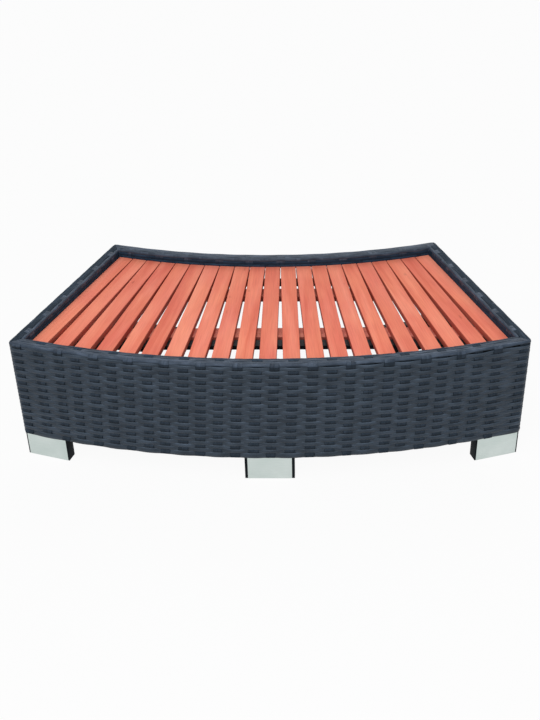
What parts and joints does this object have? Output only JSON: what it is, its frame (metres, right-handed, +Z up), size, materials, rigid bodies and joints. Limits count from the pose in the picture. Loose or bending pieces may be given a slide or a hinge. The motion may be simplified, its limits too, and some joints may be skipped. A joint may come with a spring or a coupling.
{
  "type": "spa step",
  "caption": "Curved step for a round spa: woven resin skirt on a steel tube frame, radial wooden slats inside a raised rim, and low block feet with metal plates.",
  "frame": {"origin": "on the floor, under the middle of the bounding box", "axes": "+X to the right seen from the front, +Y towards the spa, +Z up"},
  "size_m": [0.92, 0.45, 0.25],
  "materials": {
    "frame_steel": "satin black powder coat",
    "slat_wood": "oiled, reddish",
    "batten_wood": "oiled, darker red",
    "rattan": "flat woven resin strands, blue-black, slight sheen",
    "foot_black": "moulded, matt",
    "foot_silver": "satin",
    "screw_steel": "zinc plated"
  },
  "bodies": {
    "root": {"top_rail_front": "frame_steel", "top_rail_rear": "frame_steel", "bottom_rail_front": "frame_steel", "bottom_rail_rear": "frame_steel", "centre_post_front": "frame_steel", "top_rail_left": "frame_steel", "top_rail_right": "frame_steel", "bottom_rail_left": "frame_steel", "bottom_rail_right": "frame_steel", "corner_post_front_left": "frame_steel", "corner_post_front_right": "frame_steel", "corner_post_rear_left": "frame_steel", "corner_post_rear_right": "frame_steel", "side_post_front_left": "frame_steel", "side_post_front_right": "frame_steel", "side_post_rear_left": "frame_steel", "side_post_rear_right": "frame_steel", "deck_bar_front": "frame_steel", "deck_bar_rear": "frame_steel", "slat_01": "slat_wood", "slat_02": "slat_wood", "slat_03": "slat_wood", "slat_04": "slat_wood", "slat_05": "slat_wood", "slat_06": "slat_wood", "slat_07": "slat_wood", "slat_08": "slat_wood", "slat_09": "slat_wood", "slat_10": "slat_wood", "slat_11": "slat_wood", "slat_12": "slat_wood", "slat_13": "slat_wood", "slat_14": "slat_wood", "slat_15": "slat_wood", "slat_16": "slat_wood", "slat_17": "slat_wood", "slat_18": "slat_wood", "slat_19": "slat_wood", "slat_20": "slat_wood", "slat_21": "slat_wood", "batten_front": "batten_wood", "batten_rear": "batten_wood", "weave_front": "rattan", "weave_left": "rattan", "weave_right": "rattan", "weave_rear_rim": "rattan", "foot_front_left": "foot_black", "foot_front_centre": "foot_black", "foot_front_right": "foot_black", "foot_rear_left": "foot_black", "foot_rear_right": "foot_black", "foot_plate_front_left": "foot_silver", "foot_plate_front_centre": "foot_silver", "foot_plate_front_right": "foot_silver", "foot_plate_rear_left": "foot_silver", "foot_plate_rear_right": "foot_silver", "slat_screws": "screw_steel", "deck_screws": "screw_steel", "foot_screws": "screw_steel"}
  },
  "joints": []
}
